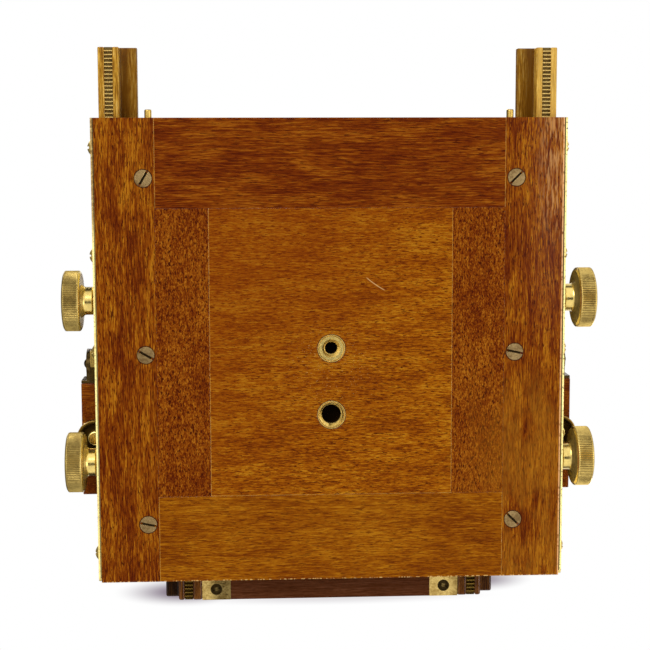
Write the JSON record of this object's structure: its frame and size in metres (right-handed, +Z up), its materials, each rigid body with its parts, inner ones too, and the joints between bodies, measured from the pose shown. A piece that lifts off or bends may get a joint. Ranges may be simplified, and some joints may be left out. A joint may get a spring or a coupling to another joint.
{
  "type": "large format field camera",
  "caption": "Wooden flat-bed field camera for 5 x 7 inch sheet film, with double rack focusing, tapered bellows, tilting standards and a sprung focusing screen.",
  "frame": {"origin": "centre of the mouth of the small (1/4 inch) tripod bush, on the underside of the base", "axes": "+Z up, the lens looks along -Y, +X to the camera's left hand side seen from the lens"},
  "size_m": [0.218, 0.2306, 0.2658],
  "materials": {
    "base_wood": "polished, streaked grain",
    "strip_wood": "polished, flecked grain",
    "panel_wood": "polished",
    "rail_wood": "oiled, pale",
    "dark_wood": "polished, dark",
    "body_wood": "polished",
    "board_wood": "polished",
    "brass": "aged lacquered",
    "knob_brass": "aged, knurled",
    "drive_brass": "machined",
    "screw_brass": "dull",
    "spring_brass": "rolled",
    "lens_brass": "polished lacquered",
    "lens_glass": "clear",
    "ground_glass": "ground",
    "bellows_cloth": "black grained",
    "black_card": "matt black",
    "strap_leather": "brown grained"
  },
  "bodies": {
    "base": {"base_stile_left": "base_wood", "base_stile_right": "base_wood", "base_board_front": "base_wood", "base_board_rear": "base_wood", "base_strips": "strip_wood", "base_panel": "panel_wood", "small_bush": "brass", "large_bush": "brass", "side_plates": "brass", "side_screws": "screw_brass", "base_screws": "screw_brass", "runners": "body_wood", "runner_caps": "brass", "stop_pins": "brass", "bellows": "bellows_cloth"},
    "front_drive": {"front_shaft": "drive_brass", "front_knob_left": "knob_brass", "front_knob_right": "knob_brass"},
    "rear_drive": {"rear_shaft": "drive_brass", "rear_knob_left": "knob_brass", "rear_knob_right": "knob_brass"},
    "front_frame": {"front_rail_left": "rail_wood", "front_rail_right": "rail_wood", "front_racks": "drive_brass", "front_crossboard": "body_wood", "front_bracket": "brass"},
    "front_standard": {"front_yoke": "brass"},
    "tilt_knob_left": {"tilt_knob_left": "knob_brass"},
    "tilt_knob_right": {"tilt_knob_right": "knob_brass"},
    "lens_carrier": {"lens_frame": "body_wood", "lens_board": "board_wood", "lens_barrel": "lens_brass", "lens_glass": "lens_glass"},
    "aperture_ring": {"aperture_ring": "lens_brass"},
    "board_catch": {"board_catch": "brass"},
    "rise_knob_left": {"rise_knob_left": "knob_brass"},
    "rise_knob_right": {"rise_knob_right": "knob_brass"},
    "rear_frame": {"rear_rail_left": "dark_wood", "rear_rail_right": "dark_wood", "rear_racks": "drive_brass", "rear_crosspiece": "dark_wood", "corner_plates": "brass", "rear_platform": "body_wood", "swing_pivot": "brass"},
    "rear_swing": {"rear_swing_bar": "brass"},
    "clamp_knob_left": {"clamp_knob_left": "knob_brass"},
    "clamp_knob_right": {"clamp_knob_right": "knob_brass"},
    "rear_standard": {"rear_box_sides": "body_wood", "rear_box_ends": "body_wood", "hinge_lugs": "brass", "hinge_screws": "screw_brass", "bellows_frame": "black_card", "back_frame": "body_wood", "back_stud": "brass", "back_springs": "spring_brass", "handle_strap": "strap_leather", "handle_posts": "brass"},
    "focus_screen": {"focus_frame": "body_wood", "ground_glass": "ground_glass"},
    "back_catch": {"back_catch": "brass"}
  },
  "joints": [
    {"name": "front_focus", "type": "slide", "parent": "base", "child": "front_frame", "axis": [0, -1, 0], "range_m": [-0.02, 0.08], "deforming": ["bellows"]},
    {"name": "front_knobs", "type": "hinge", "parent": "base", "child": "front_drive", "pos_m": [0, -0.01965, 0.0075], "axis": [1, 0, 0], "range_deg": [-290, 1150]},
    {"name": "rear_focus", "type": "slide", "parent": "base", "child": "rear_frame", "axis": [0, 1, 0], "range_m": [-0.008, 0.05]},
    {"name": "rear_knobs", "type": "hinge", "parent": "base", "child": "rear_drive", "pos_m": [0, 0.04745, 0.0075], "axis": [-1, 0, 0], "range_deg": [-118, 718]},
    {"name": "front_tilt", "type": "hinge", "parent": "front_frame", "child": "front_standard", "pos_m": [0, -0.067, 0.041], "axis": [1, 0, 0], "range_deg": [-6, 6]},
    {"name": "front_rise", "type": "slide", "parent": "front_standard", "child": "lens_carrier", "axis": [0, 0, 1], "range_m": [-0.01, 0.03]},
    {"name": "tilt_knob_left_turn", "type": "hinge", "parent": "front_standard", "child": "tilt_knob_left", "pos_m": [-0.0724, -0.067, 0.041], "axis": [-1, 0, 0], "range_deg": [0, 270]},
    {"name": "tilt_knob_right_turn", "type": "hinge", "parent": "front_standard", "child": "tilt_knob_right", "pos_m": [0.0724, -0.067, 0.041], "axis": [1, 0, 0], "range_deg": [0, 270]},
    {"name": "rise_knob_left_turn", "type": "hinge", "parent": "lens_carrier", "child": "rise_knob_left", "pos_m": [-0.0702, -0.067, 0.1178], "axis": [-1, 0, 0], "range_deg": [0, 270]},
    {"name": "rise_knob_right_turn", "type": "hinge", "parent": "lens_carrier", "child": "rise_knob_right", "pos_m": [0.0702, -0.067, 0.1178], "axis": [1, 0, 0], "range_deg": [0, 270]},
    {"name": "aperture", "type": "hinge", "parent": "lens_carrier", "child": "aperture_ring", "pos_m": [0, -0.087, 0.1318], "axis": [0, -1, 0], "range_deg": [-45, 45]},
    {"name": "board_catch_slide", "type": "slide", "parent": "lens_carrier", "child": "board_catch", "axis": [0, 0, 1], "range_m": [0, 0.006]},
    {"name": "rear_swing_turn", "type": "hinge", "parent": "rear_frame", "child": "rear_swing", "pos_m": [0, 0.0402, 0.0256], "axis": [0, 0, 1], "range_deg": [-4, 4]},
    {"name": "rear_tilt", "type": "hinge", "parent": "rear_swing", "child": "rear_standard", "pos_m": [0, 0.0097, 0.0332], "axis": [1, 0, 0], "range_deg": [0, 6]},
    {"name": "clamp_left_turn", "type": "hinge", "parent": "rear_swing", "child": "clamp_knob_left", "pos_m": [-0.099, 0.0402, 0.0228], "axis": [0, 0, 1], "range_deg": [0, 270]},
    {"name": "clamp_right_turn", "type": "hinge", "parent": "rear_swing", "child": "clamp_knob_right", "pos_m": [0.099, 0.0402, 0.0228], "axis": [0, 0, 1], "range_deg": [0, 270]},
    {"name": "screen_slide", "type": "slide", "parent": "rear_standard", "child": "focus_screen", "axis": [0, 1, 0], "range_m": [0, 0.014], "stiffness_N_per_m": 500, "springref_m": -0.006, "deforming": ["back_springs"]},
    {"name": "back_catch_slide", "type": "slide", "parent": "rear_standard", "child": "back_catch", "axis": [-1, 0, 0], "range_m": [0, 0.005]}
  ],
  "couplings": [
    {"joint": "front_knobs", "follows": "front_focus", "rad_per_m": 250},
    {"joint": "rear_knobs", "follows": "rear_focus", "rad_per_m": 250}
  ]
}
